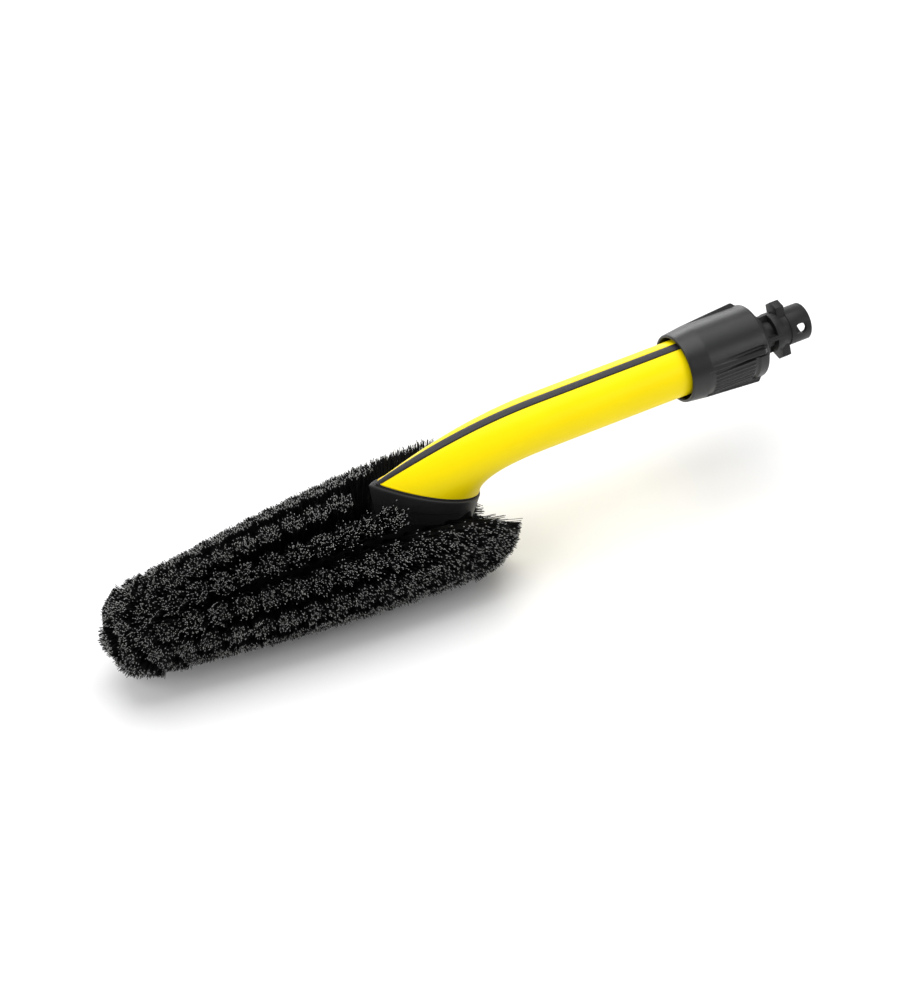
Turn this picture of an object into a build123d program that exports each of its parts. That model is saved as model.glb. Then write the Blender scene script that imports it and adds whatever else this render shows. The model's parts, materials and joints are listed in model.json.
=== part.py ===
from build123d import *
import os
from math import acos, cos, hypot, pi, radians, sin

os.makedirs("parts", exist_ok=True)

# Water-fed wheel brush: a tapered all-round bristle head on a curved hollow handle, which ends in a
# union nut and a bayonet spigot. +X points out of the spigot, +Z is the handle side, y = 0 is the
# mirror plane of the brush, and z = 0 is the belly of the bristles. All sizes are in millimetres.

# ---- Driving dimensions -------------------------------------------------------------------------
# Lengths along the brush, in order from the free end of the spigot to the bristles of the tip
spigot_nose = 11.4
lug_thickness = 4.4
lug_ring_length = 3.7
neck_length = 6.5
neck_flange_length = 4.0
nut_length = 42.4
straight_length = 77.6
bend_length = 85.0
head_overhang = 119.0
tip_bristle_length = 23.0

# Heights over the belly
head_axis_height = 31.0
handle_rise = 33.5

# Handle: a round tube that turns down into a pear-shaped boot
handle_radius = 13.6
handle_wall = 2.6
boot_half_width = 12.8
seam_run = 54.0
seam_fall = 24.8
outline_points = 16
bend_steps = 8
stripe_width = 4.0
stripe_depth = 1.3

# Water tube and its seals
tube_radius = 5.0
tube_wall = 1.2
tube_bend_radius = 22.0
tube_turn_gap = 49.0
tube_socket = 8.0
tube_bite = 6.5
seal_wire = 0.9

# Union nut, union body and slip ring
thread_radius = 15.4
nut_front_radius = 16.8
nut_rear_radius = 18.0
nut_shoulder = 4.0
nut_edge = 1.0
grip_radius = 19.3
grip_angle = 12.0
grip_half_span = 27.0
grip_recess = 0.9
grip_margin = 6.0
wing_thickness = 3.0
wing_offset = 34.0
rib_count = 7
slip_ring_thickness = 1.4
face_seal_thickness = 1.5
face_seal_radius = 14.0
union_head_length = 21.0
union_tail_length = 22.0

# Bayonet spigot
spigot_radius = 9.0
spigot_bore = 7.2
spigot_bore_depth = 12.5
spigot_channel = 4.0
spigot_flange_radius = 14.4
spigot_flange_length = 3.5
spigot_tail_radius = 7.0
spigot_tail_length = 16.0
lug_radius = 14.6
lug_shoulder = 12.4
lug_width = 9.2
lug_angle = 68.5
profile_turn = 37.5
lug_ring_radius = 9.6
window_width = 5.0
window_length = 5.0
neck_radius = 6.5
neck_flange_radius = 11.9
neck_rib = 2.2

# Brush core
core_front_half_width = 7.0
core_rear_half_width = 12.0
core_front_half_height = 7.5
core_rear_half_height = 10.0
core_nose_length = 3.0
core_rear_setback = 8.0
core_rear_round = 4.0
channel_radius = 3.2
channel_front_gap = 24.0
plug_length = 6.0

# Foot between the core and the handle
foot_base_half_width = 9.5
foot_base_inset = 3.0
foot_rear_draft = 4.5
foot_depth_in_core = 19.0
foot_wall = 3.2
foot_floor = 2.5
gasket_thickness = 0.8
gasket_inset = 0.5
scallop_clearance = 0.8
screw_radius = 1.8
screw_head_radius = 3.2
screw_head_height = 2.4
screw_bite = 5.8
screw_gap = 13.0

# Bristle tufts
row_count = 12
tuft_pitch = 12.5
tuft_root_radius = 2.1
tuft_tip_radius = 5.0
tuft_depth = 3.5
tuft_collar = 2.2
envelope_front_half_width = 18.0
envelope_rear_half_width = 37.0
envelope_front_half_height = 21.5
envelope_rear_half_height = 31.5
envelope_rear_round = 20.0
envelope_rear_close = 0.18
front_lean = 12.0
rear_lean = 10.0
root_margin = 5.0
foot_spread = 15.0
foot_margin = (7.0, -1.0)
fan_count = 6
fan_setback = 6.0
fan_root_scale = 0.55
fan_tip_scale = 0.66
rear_count = 7
rear_reach = 13.0
rear_root_setback = 3.0
rear_root_scale = 0.9
rear_tip_scale = 0.8

# Clearances
running_clearance = 0.05
loose_clearance = 0.4
axial_clearance = 0.3
fit_clearance = 0.1

# ---- Stations: distances from the free end of the spigot ----------------------------------------
s_lug_back = spigot_nose + lug_thickness
s_neck_front = s_lug_back + lug_ring_length
s_neck_back = s_neck_front + neck_length
s_nut_rear = s_neck_back + neck_flange_length
s_nut_front = s_nut_rear + nut_length
s_bend = s_nut_front + straight_length
s_nose = s_bend + bend_length
s_core_front = s_nose + head_overhang
s_tip = s_core_front + tip_bristle_length
s_seam_rear = s_nose - seam_run
s_core_rear = s_seam_rear + core_rear_setback
s_shoulder = s_nut_rear + nut_shoulder
s_slip_ring = s_shoulder + axial_clearance
s_spigot_flange = s_slip_ring + slip_ring_thickness + axial_clearance
s_face_seal = s_spigot_flange + spigot_flange_length
s_union = s_face_seal + face_seal_thickness
s_handle_end = s_union + union_head_length
s_union_tail = s_handle_end + union_tail_length
s_tube_end = s_union_tail - tube_socket
s_tube_turn = s_nose - tube_turn_gap
s_inlet = s_tube_turn + tube_bend_radius
s_first_tip = s_core_front + front_lean
s_last_tip = s_core_rear - rear_lean

half_length = s_tip / 2
handle_height = head_axis_height + handle_rise
core_top = head_axis_height + core_rear_half_height
inner_radius = handle_radius - handle_wall
nut_bore = thread_radius + running_clearance
nut_rear_bore = neck_flange_radius + loose_clearance
seal_seat = tube_radius + 2 * seal_wire
socket_radius = spigot_tail_radius + running_clearance
row_step = 360 / row_count
spigot_seal_stations = (s_face_seal + spigot_tail_length * 0.4, s_face_seal + spigot_tail_length * 0.75)
inlet_seal_height = core_top - 4 * seal_wire
screw_stations = (s_nose - screw_gap, s_core_rear + 0.7 * screw_gap)
last_tuft = int((s_first_tip - s_last_tip) / tuft_pitch)


def station(s):
    """The x of a distance s from the free end of the spigot."""
    return half_length - s


def cross_plane(s, height=handle_height, turn=0.0):
    """A plane across the brush at station s: its local x lies at an angle from +Y towards +Z."""
    across = (0, cos(radians(turn)), sin(radians(turn)))
    return Plane(origin=(station(s), 0, height), x_dir=across, z_dir=(1, 0, 0))


def radial_plane(angle):
    """A plane through the handle's axis: local x is +X, local y points out at angle from +Y to +Z."""
    turn = radians(angle)
    return Plane(origin=(0, 0, handle_height), x_dir=(1, 0, 0), z_dir=(0, -sin(turn), cos(turn)))


axis_plane = radial_plane(90)
handle_axis = Axis((0, 0, handle_height), (1, 0, 0))


def turned(*points, mode=Mode.ADD, plane=axis_plane):
    """Revolve a closed profile of (station, radius) points about the handle's axis."""
    with BuildSketch(plane) as profile:
        with BuildLine():
            Polyline(*[(station(s), radius) for s, radius in points], close=True)
        make_face()
    revolve(profile.sketch, axis=handle_axis, mode=mode)


def sleeve(s_from, s_to, outer, inner, mode=Mode.ADD):
    """Revolve a plain ring between two stations and two radii."""
    turned((s_from, inner), (s_to, inner), (s_to, outer), (s_from, outer), mode=mode)


def bored(s_from, s_to, radius):
    """Cut a round hole along the handle's axis between two stations."""
    with BuildSketch(cross_plane(s_to)) as hole:
        Circle(radius)
    extrude(hole.sketch, amount=s_to - s_from, mode=Mode.SUBTRACT)


def seal_ring(s, radius):
    """Revolve a round seal about the handle's axis, with its wire centred at station s and radius."""
    with BuildSketch(axis_plane) as wire:
        with Locations((station(s), radius)):
            Circle(seal_wire)
    revolve(wire.sketch, axis=handle_axis)


def finish(piece, name):
    """Label a finished piece and write it under its node's name."""
    piece.part.label = name
    export_step(piece.part, f"parts/{name}.step")


# ---- Handle -------------------------------------------------------------------------------------
def pear_point(angle, end, half_width, taper):
    """A point of a pear shape: an ellipse where taper is 0, nearly pointed at angle 0 where it is 1."""
    widest = acos(-taper / (2 + taper))
    fullest = sin(widest) * sin(widest / 2) ** taper
    return half_width * sin(angle) * sin(angle / 2) ** taper / fullest, end * cos(angle)


def pear_angle(across, half_width, taper):
    """The angle, counted from the narrow end, at which a pear shape is across wide on one side."""
    low, high = 0.0, pi / 2
    for _ in range(40):
        middle = (low + high) / 2
        if pear_point(middle, 1.0, half_width, taper)[0] < across:
            low = middle
        else:
            high = middle
    return low


def pear_outline(plane, end, half_width, taper):
    """A whole pear shape as a sketch on a plane, narrow towards the plane's local +y."""
    angles = [2 * pi * step / outline_points for step in range(outline_points)]
    points = [pear_point(angle, end, half_width, taper) for angle in angles]
    with BuildSketch(plane) as outline:
        with BuildLine():
            Spline(*points, periodic=True)
        make_face()
    return outline.sketch


def handle_frame(u):
    """Plane, half height, half width and taper of the handle at u, from the bend at 0 to the seam."""
    crest_s = s_bend + bend_length * u
    crest_rise = handle_radius * (1 - u**2.05)
    belly_s = s_bend + (bend_length - seam_run) * (1 - (1 - u) ** 2)
    belly_rise = -handle_radius - (seam_fall - handle_radius) * u**2.4
    run = belly_s - crest_s
    rise = crest_rise - belly_rise
    height = hypot(run, rise)
    middle = (station((crest_s + belly_s) / 2), 0, handle_height + (crest_rise + belly_rise) / 2)
    plane = Plane(origin=middle, x_dir=(0, 1, 0), z_dir=(rise / height, 0, -run / height))
    half_width = handle_radius + (boot_half_width - handle_radius) * u**1.5
    return plane, height / 2, half_width, 0.9 * u**1.2


def arc_points(start, end, half_width, taper, middle=0.0):
    """Points of one side of a pear shape, from an angle near its narrow end to its wide end."""
    points = []
    for step in range(outline_points // 2 + 1):
        angle = start + (pi - start) * step / (outline_points // 2)
        across, up = pear_point(angle, end, half_width, taper)
        points.append((-across, up + middle))
    return points


def shell_section(u):
    """One side's wall of the handle at u, with the rebate for the stripe at its crest."""
    plane, end, half_width, taper = handle_frame(u)
    groove = stripe_width / 2 + fit_clearance
    start = pear_angle(groove, half_width, taper)
    floor = end * cos(start) - stripe_depth
    hollow_top = floor - (handle_wall - stripe_depth)
    hollow_end = (hollow_top + end - handle_wall) / 2
    outer = arc_points(start, end, half_width, taper)
    inner = arc_points(0.0, hollow_end, half_width - handle_wall, taper, hollow_top - hollow_end)
    with BuildSketch(plane) as section:
        with BuildLine():
            Spline(*outer)
            Line(outer[-1], inner[-1])
            Spline(*inner)
            Polyline(inner[0], (0, floor), (-groove, floor), outer[0])
        make_face()
    return section.sketch


def stripe_section(u):
    """The stripe at u: flat underneath, and flush with the handle's crest on top."""
    plane, end, half_width, taper = handle_frame(u)
    groove = stripe_width / 2 + fit_clearance
    floor = end * cos(pear_angle(groove, half_width, taper)) - stripe_depth
    edge = stripe_width / 2
    top = end * cos(pear_angle(edge, half_width, taper))
    with BuildSketch(plane) as section:
        with BuildLine():
            Polyline((edge, top), (edge, floor), (-edge, floor), (-edge, top))
            ThreePointArc((-edge, top), (0, end), (edge, top))
        make_face()
    return section.sketch


def along_handle(section):
    """Carry a section along the straight tube and round the bend, in the open part."""
    extrude(section(0.0), amount=s_bend - s_handle_end)
    loft([section(step / bend_steps) for step in range(bend_steps + 1)])


with BuildPart() as top_stripe:
    along_handle(stripe_section)
finish(top_stripe, "top_stripe")

with BuildPart() as handle_left_shell:
    along_handle(shell_section)
finish(handle_left_shell, "handle_left_shell")

with BuildPart() as handle_right_shell:
    mirror(handle_left_shell.part, about=Plane.XZ)
finish(handle_right_shell, "handle_right_shell")


# ---- Union: fixed body, face seal, slip ring and the nut that draws the spigot in -----------------
with BuildPart() as union_body:
    turned(
        (s_union, socket_radius),
        (s_union, thread_radius),
        (s_handle_end, thread_radius),
        (s_handle_end, inner_radius - loose_clearance),
        (s_union_tail, inner_radius - loose_clearance),
        (s_union_tail, seal_seat),
        (s_union_tail - 2 * seal_wire, seal_seat),
        (s_union_tail - 2 * seal_wire, tube_radius + fit_clearance),
        (s_tube_end, tube_radius + fit_clearance),
        (s_tube_end, spigot_channel),
        (s_face_seal + spigot_tail_length + axial_clearance, spigot_channel),
        (s_face_seal + spigot_tail_length + axial_clearance, socket_radius),
    )
finish(union_body, "union_body")

with BuildPart() as face_seal:
    sleeve(s_face_seal, s_union, face_seal_radius, socket_radius + fit_clearance)
finish(face_seal, "face_seal")

with BuildPart() as slip_ring:
    sleeve(
        s_slip_ring,
        s_slip_ring + slip_ring_thickness,
        nut_bore - loose_clearance,
        nut_rear_bore,
    )
finish(slip_ring, "slip_ring")

with BuildPart() as union_nut:
    front_swell = s_nut_front - nut_length / 4
    turned(
        (s_nut_rear, nut_rear_bore),
        (s_shoulder, nut_rear_bore),
        (s_shoulder, nut_bore),
        (s_nut_front, nut_bore),
        (s_nut_front, nut_front_radius),
        (front_swell, nut_rear_radius),
        (s_nut_rear + nut_edge, nut_rear_radius),
        (s_nut_rear, nut_rear_radius - nut_edge),
    )
    recess_plane = cross_plane(s_nut_front - 1.6 * grip_margin)
    recess_length = nut_length - 2.6 * grip_margin
    for side in (0, 180):
        middle = grip_angle + side
        with BuildSketch(recess_plane) as recess:
            with BuildLine():
                edges = [middle - grip_half_span, middle + grip_half_span]
                Polyline(
                    (0, 0),
                    (2 * grip_radius * cos(radians(edges[0])), 2 * grip_radius * sin(radians(edges[0]))),
                    (2 * grip_radius * cos(radians(edges[1])), 2 * grip_radius * sin(radians(edges[1]))),
                    close=True,
                )
            make_face()
            Circle(nut_rear_radius - grip_recess, mode=Mode.SUBTRACT)
        extrude(amount=recess_length, mode=Mode.SUBTRACT)
        for rib in range(rib_count):
            turn = middle + grip_half_span * (2 * (rib + 1) / (rib_count + 1) - 1)
            with BuildSketch(radial_plane(turn)):
                with BuildLine():
                    Polyline(
                        (station(s_nut_front - 2.2 * grip_margin), nut_rear_radius - 1.6 * grip_recess),
                        (station(s_nut_front - 2.2 * grip_margin), nut_rear_radius - 0.4 * grip_recess),
                        (station(s_nut_rear + 1.4 * grip_margin), nut_rear_radius - 0.1 * grip_recess),
                        (station(s_nut_rear + 1.4 * grip_margin), nut_rear_radius - 1.6 * grip_recess),
                        close=True,
                    )
                make_face()
            extrude(amount=grip_recess / 2, both=True)
        for wing in (-wing_offset, wing_offset):
            with BuildSketch(radial_plane(middle + wing)):
                with BuildLine():
                    Polyline(
                        (station(front_swell + nut_edge), nut_front_radius),
                        (station(front_swell), nut_rear_radius + 0.2),
                        (station(s_nut_rear + 3 * nut_edge), grip_radius),
                        (station(s_nut_rear + nut_edge), grip_radius - nut_edge / 2),
                        (station(s_nut_rear + nut_edge), nut_front_radius),
                        close=True,
                    )
                make_face()
            extrude(amount=wing_thickness / 2, both=True)
finish(union_nut, "union_nut")


# ---- Bayonet spigot -------------------------------------------------------------------------------
with BuildPart() as spigot:
    turned(
        (0, 0),
        (0, spigot_radius - nut_edge / 2),
        (nut_edge / 2, spigot_radius),
        (spigot_nose, spigot_radius),
        (spigot_nose, spigot_radius - nut_edge / 2),
        (s_lug_back, spigot_radius - nut_edge / 2),
        (s_lug_back, lug_ring_radius),
        (s_neck_front, lug_ring_radius),
        (s_neck_front, neck_radius),
        (s_neck_back, neck_radius),
        (s_neck_back, neck_flange_radius),
        (s_spigot_flange, neck_flange_radius),
        (s_spigot_flange, spigot_flange_radius),
        (s_face_seal, spigot_flange_radius),
        (s_face_seal, spigot_tail_radius),
        (s_face_seal + spigot_tail_length, spigot_tail_radius),
        (s_face_seal + spigot_tail_length, 0),
        plane=radial_plane(lug_angle + profile_turn),
    )
    with BuildSketch(cross_plane(s_lug_back, turn=lug_angle)):
        with BuildLine():
            Polyline(
                (lug_radius, 0),
                (lug_shoulder, lug_width / 2),
                (-lug_shoulder, lug_width / 2),
                (-lug_radius, 0),
                (-lug_shoulder, -lug_width / 2),
                (lug_shoulder, -lug_width / 2),
                close=True,
            )
        make_face()
    extrude(amount=lug_thickness)
    with BuildSketch(cross_plane(s_neck_back, turn=lug_angle)):
        Rectangle(2 * lug_ring_radius, neck_rib)
        Rectangle(neck_rib, 2 * lug_ring_radius)
    extrude(amount=neck_length)
    bored(0, spigot_bore_depth, spigot_bore)
    bored(0, s_face_seal + spigot_tail_length, spigot_channel)
    with BuildSketch(radial_plane(lug_angle)):
        with Locations((station((spigot_nose + nut_edge) / 2), 0)):
            SlotOverall(window_length + nut_edge, window_width)
    extrude(amount=spigot_radius + nut_edge, both=True, mode=Mode.SUBTRACT)
    for groove in spigot_seal_stations:
        sleeve(
            groove - seal_wire - fit_clearance,
            groove + seal_wire + fit_clearance,
            spigot_tail_radius + nut_edge,
            socket_radius - 2 * seal_wire - fit_clearance,
            mode=Mode.SUBTRACT,
        )
finish(spigot, "spigot")

with BuildPart() as spigot_seals:
    for groove in spigot_seal_stations:
        seal_ring(groove, socket_radius - seal_wire)
finish(spigot_seals, "spigot_seals")


# ---- Water tube and its seals ---------------------------------------------------------------------
with BuildPart() as water_tube:
    with BuildLine(axis_plane) as tube_path:
        run = Line((station(s_tube_end + axial_clearance), 0), (station(s_tube_turn), 0))
        bend = TangentArc(run @ 1, (station(s_inlet), -tube_bend_radius), tangent=run % 1)
        Line(bend @ 1, (station(s_inlet), core_top - tube_bite - handle_height))
    with BuildSketch(Plane(origin=tube_path.line @ 0, x_dir=(0, 1, 0), z_dir=tube_path.line % 0)):
        Circle(tube_radius)
        Circle(tube_radius - tube_wall, mode=Mode.SUBTRACT)
    sweep()
finish(water_tube, "water_tube")

with BuildPart() as tube_rear_seal:
    seal_ring(s_union_tail - seal_wire, tube_radius + seal_wire)
finish(tube_rear_seal, "tube_rear_seal")

with BuildPart() as tube_front_seal:
    with BuildSketch(Plane.XZ):
        with Locations((station(s_inlet) + tube_radius + seal_wire, inlet_seal_height)):
            Circle(seal_wire)
    revolve(axis=Axis((station(s_inlet), 0, 0), (0, 0, 1)))
finish(tube_front_seal, "tube_front_seal")


# ---- Brush core -----------------------------------------------------------------------------------
def swell(s, s_full, s_thin):
    """A share that rises from 0 at station s_thin to 1 at s_full, fast at first and then level."""
    along = (s_thin - s) / (s_thin - s_full)
    return 1 - (1 - min(max(along, 0.0), 1.0)) ** 2


def core_half_axes(s):
    """Half width and half height of the core at station s."""
    share = swell(s, s_core_rear, s_core_front)
    half_width = core_front_half_width + (core_rear_half_width - core_front_half_width) * share
    half_height = core_front_half_height + (core_rear_half_height - core_front_half_height) * share
    return half_width, half_height


def core_outline(s, scale=1.0):
    """The core's oval section at station s."""
    half_width, half_height = core_half_axes(s)
    with BuildSketch(cross_plane(s, head_axis_height)) as outline:
        Ellipse(half_width * scale, half_height * scale)
    return outline.sketch


with BuildPart() as core_form:
    body_front = s_core_front - core_nose_length
    steps = [body_front + (s_core_rear - body_front) * step / 4 for step in range(5)]
    loft([core_outline(s) for s in steps])
    loft([core_outline(body_front), core_outline(s_core_front, 0.6)])
    fillet(core_form.edges().group_by(Axis.X)[-1], radius=core_rear_round)


# ---- Bristle tufts --------------------------------------------------------------------------------
def envelope_half_axes(s):
    """Half width and half height of the bristle tips at station s."""
    share = swell(s, s_core_rear, s_first_tip)
    rounded = max(s_core_rear + envelope_rear_round / 2 - s, 0) / envelope_rear_round
    close = envelope_rear_close * rounded**2
    half_width = envelope_front_half_width
    half_width += (envelope_rear_half_width - envelope_front_half_width) * share
    half_height = envelope_front_half_height
    half_height += (envelope_rear_half_height - envelope_front_half_height) * share
    return half_width * (1 - close), half_height * (1 - close)


def oval_point(s, half_axes, angle, scale=1.0):
    """A point of an oval about the core's axis at station s, with its angle counted from +Z."""
    turn = radians(angle)
    across = half_axes[0] * scale * sin(turn)
    return Vector(station(s), across, head_axis_height + half_axes[1] * scale * cos(turn))


def tuft_axis(s_end, angle):
    """Root and tip of a tuft whose tip lies at station s_end, splayed clear of the foot."""
    beside_foot = max(s_nose - s_end, 0) / seam_run
    upper = 1 if 0 < angle < 90 else -1 if 270 < angle < 360 else 0
    angle += upper * foot_spread * beside_foot
    share = (s_end - s_last_tip) / (s_first_tip - s_last_tip)
    s_root = s_core_rear + root_margin + share * (s_core_front - s_core_rear - 2 * root_margin)
    root = oval_point(s_root, core_half_axes(s_root), angle)
    return root, oval_point(s_end, envelope_half_axes(s_end), angle)


def row_axes(row):
    """The tufts of one row, with those left out that would stand where the foot is."""
    angle = row * row_step
    axes = []
    for tuft in range(last_tuft + 1):
        s_end = s_first_tip - tuft_pitch * (tuft + (row % 2) / 2)
        under_foot = min(angle, 360 - angle) < 1.5 * row_step and s_end < s_nose + foot_margin[row % 2]
        if not under_foot:
            axes.append(tuft_axis(s_end, angle))
    return axes


def fan_axes():
    """The tufts that fan forward from the core's nose, with one on its axis."""
    axes = [(Vector(station(s_core_front), 0, head_axis_height), Vector(-half_length, 0, head_axis_height))]
    s_root = s_core_front - core_nose_length / 2
    s_end = s_tip - fan_setback
    for tuft in range(fan_count):
        angle = (tuft + 0.5) * 360 / fan_count
        root = oval_point(s_root, core_half_axes(s_root), angle, fan_root_scale)
        axes.append((root, oval_point(s_end, envelope_half_axes(s_end), angle, fan_tip_scale)))
    return axes


def rear_axes():
    """The tufts that fan backward from the lower half of the core's rear end."""
    s_root = s_core_rear + rear_root_setback
    s_end = s_core_rear - rear_reach
    axes = []
    for tuft in range(rear_count):
        angle = 90 + 180 * tuft / (rear_count - 1)
        root = oval_point(s_root, core_half_axes(s_root), angle, rear_root_scale)
        axes.append((root, oval_point(s_end, envelope_half_axes(s_core_rear), angle, rear_tip_scale)))
    return axes


def root_planes(axes):
    """Planes at the tufts' roots that look along the tufts."""
    return [Plane(origin=root, z_dir=tip - root) for root, tip in axes]


def tufts(axes, clearance=0.0):
    """Plain tufts: a bound root in the core that flares to the cut bristle ends, in the open part."""
    root_radius, tip_radius = tuft_root_radius + clearance, tuft_tip_radius + clearance
    upright = (Align.CENTER, Align.CENTER, Align.MIN)
    for (root, tip), plane in zip(axes, root_planes(axes)):
        with Locations(plane.offset(-tuft_depth)):
            Cylinder(root_radius, tuft_depth + tuft_collar, align=upright)
        with Locations(plane.offset(tuft_collar)):
            flare = (tip - root).length - tuft_collar
            Cone(root_radius, tip_radius, flare, align=upright)
    split(bisect_by=Plane.XY, keep=Keep.TOP)


all_axes = {f"bristle_row_{row + 1:02d}": row_axes(row) for row in range(row_count)}
all_axes["bristle_tip"] = fan_axes()
all_axes["bristle_rear"] = rear_axes()

for name, axes in all_axes.items():
    with BuildPart() as bristles:
        tufts(axes)
    finish(bristles, name)

with BuildPart() as brush_core:
    add(core_form.part)
    bored_plane = cross_plane(s_core_front - channel_front_gap, head_axis_height)
    with BuildSketch(bored_plane):
        Circle(channel_radius)
    extrude(amount=2 * half_length, mode=Mode.SUBTRACT)
    with Locations((station(s_inlet), 0, head_axis_height)):
        inlet_align = (Align.CENTER, Align.CENTER, Align.MIN)
        inlet_depth = 2 * core_rear_half_height
        Cylinder(tube_radius + fit_clearance, inlet_depth, align=inlet_align, mode=Mode.SUBTRACT)
    with Locations((station(s_inlet), 0, inlet_seal_height - seal_wire)):
        Cylinder(seal_seat, core_rear_half_height, align=inlet_align, mode=Mode.SUBTRACT)
    with Locations(*[(station(s), 0, core_top) for s in screw_stations]):
        Cylinder(screw_radius + fit_clearance, 2 * (screw_bite + fit_clearance), mode=Mode.SUBTRACT)
    for axes in all_axes.values():
        with Locations(*[plane.offset(-tuft_depth - fit_clearance) for plane in root_planes(axes)]):
            Cylinder(
                tuft_root_radius + fit_clearance,
                2 * tuft_depth + tuft_collar,
                align=(Align.CENTER, Align.CENTER, Align.MIN),
                mode=Mode.SUBTRACT,
            )
finish(brush_core, "brush_core")

with BuildPart() as channel_plug:
    with BuildSketch(cross_plane(s_core_rear, head_axis_height)):
        Circle(channel_radius - fit_clearance / 2)
    extrude(amount=-plug_length)
finish(channel_plug, "channel_plug")


# ---- Foot, its gasket and its screws --------------------------------------------------------------
seam_plane, seam_end, seam_half_width, seam_taper = handle_frame(1.0)


def seam_outline(drop, inset):
    """The boot's outline on a plane parallel to the seam, lowered by drop and drawn in by inset."""
    return pear_outline(seam_plane.offset(-drop), seam_end - inset, seam_half_width - inset, seam_taper)


def base_outline(inset):
    """The foot's outline inside the core, level with the ground."""
    front, rear = station(s_nose - foot_base_inset), station(s_seam_rear + foot_rear_draft)
    middle = ((front + rear) / 2, 0, core_top - foot_depth_in_core)
    plane = Plane(origin=middle, x_dir=(0, 1, 0), z_dir=(0, 0, 1))
    return pear_outline(plane, (rear - front) / 2 - inset, foot_base_half_width - inset, seam_taper)


with BuildPart() as foot_gasket:
    extrude(seam_outline(gasket_thickness, gasket_inset), amount=gasket_thickness)
    extrude(seam_outline(gasket_thickness, handle_wall), amount=gasket_thickness, mode=Mode.SUBTRACT)
finish(foot_gasket, "foot_gasket")

with BuildPart() as foot_pocket:
    loft([seam_outline(gasket_thickness, foot_wall), base_outline(foot_wall)])
    split(bisect_by=Plane.XY.offset(core_top + foot_floor), keep=Keep.TOP)

with BuildPart() as tuft_room:
    beside_foot = [axis for axes in all_axes.values() for axis in axes if axis[0].X > station(s_nose)]
    tufts(beside_foot, scallop_clearance)

with BuildPart() as head_foot:
    loft([seam_outline(gasket_thickness, 0.0), base_outline(0.0)])
    add(core_form.part, mode=Mode.SUBTRACT)
    add(foot_pocket.part, mode=Mode.SUBTRACT)
    add(tuft_room.part, mode=Mode.SUBTRACT)
    with Locations((station(s_inlet), 0, core_top)):
        Cylinder(tube_radius + loose_clearance, 2 * foot_depth_in_core, mode=Mode.SUBTRACT)
    with Locations(*[(station(s), 0, core_top) for s in screw_stations]):
        Cylinder(screw_radius + fit_clearance, 2 * foot_depth_in_core, mode=Mode.SUBTRACT)
finish(head_foot, "head_foot")

with BuildPart() as foot_screws:
    for s in screw_stations:
        head_seat = Plane(origin=(station(s), 0, core_top + foot_floor), x_dir=(1, 0, 0), z_dir=(0, -1, 0))
        with BuildSketch(head_seat):
            with BuildLine():
                Polyline(
                    (0, -foot_floor - screw_bite),
                    (screw_radius, -foot_floor - screw_bite),
                    (screw_radius, 0),
                    (screw_head_radius, 0),
                    (screw_head_radius, screw_head_height),
                    (0, screw_head_height),
                    close=True,
                )
            make_face()
        revolve(axis=Axis((station(s), 0, 0), (0, 0, 1)))
finish(foot_screws, "foot_screws")
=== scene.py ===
"""Looks of a water-fed wheel brush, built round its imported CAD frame.

Every piece is worked out as a surface of two parameters, in metres, in the frame of the CAD model.
"""
import json
import math

import bmesh
import bpy
import numpy as np
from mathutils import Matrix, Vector


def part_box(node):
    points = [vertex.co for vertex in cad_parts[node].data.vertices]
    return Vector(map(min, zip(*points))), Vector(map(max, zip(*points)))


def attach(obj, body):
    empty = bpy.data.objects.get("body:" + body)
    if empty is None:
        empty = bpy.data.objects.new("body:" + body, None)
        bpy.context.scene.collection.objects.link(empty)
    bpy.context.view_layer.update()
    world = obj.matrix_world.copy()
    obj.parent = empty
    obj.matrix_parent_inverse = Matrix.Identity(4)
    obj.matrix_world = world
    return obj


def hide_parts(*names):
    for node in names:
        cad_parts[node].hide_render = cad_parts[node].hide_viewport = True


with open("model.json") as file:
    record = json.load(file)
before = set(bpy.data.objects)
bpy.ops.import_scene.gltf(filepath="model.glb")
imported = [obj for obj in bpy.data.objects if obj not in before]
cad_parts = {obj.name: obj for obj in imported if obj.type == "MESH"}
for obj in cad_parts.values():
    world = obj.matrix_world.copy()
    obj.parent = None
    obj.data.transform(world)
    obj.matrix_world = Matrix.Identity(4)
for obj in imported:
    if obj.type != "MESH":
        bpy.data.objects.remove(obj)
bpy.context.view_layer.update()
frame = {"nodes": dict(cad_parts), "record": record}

bl_info = {
    "name": "Wheel brush",
    "version": (1, 0, 0),
    "blender": (4, 5, 0),
    "location": "View3D > Sidebar > Wheel brush",
    "description": "Builds the visible surfaces of a wheel brush round its CAD frame",
    "category": "Object",
}

MM = 0.001
HALF_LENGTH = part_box("spigot")[1].x
AXIS_HEIGHT = (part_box("union_body")[0].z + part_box("union_body")[1].z) / 2
CORE_LOW, CORE_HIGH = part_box("brush_core")
HEAD_HEIGHT = (CORE_LOW.z + CORE_HIGH.z) / 2
NUT_LOW, NUT_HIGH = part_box("union_nut")


# ---- Sizes and colours a user would change ------------------------------------------------------
def length(name, description, millimetres):
    """A length property with its default given in millimetres."""
    return bpy.props.FloatProperty(
        name=name, description=description, default=millimetres * MM, unit="LENGTH", precision=5
    )


def colour(name, description, red, green, blue):
    """A colour property in linear light."""
    return bpy.props.FloatVectorProperty(
        name=name,
        description=description,
        default=(red, green, blue),
        subtype="COLOR",
        min=0.0,
        max=1.0,
    )


def number(name, description, default):
    """A plain number property."""
    return bpy.props.FloatProperty(name=name, description=description, default=default)


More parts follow.
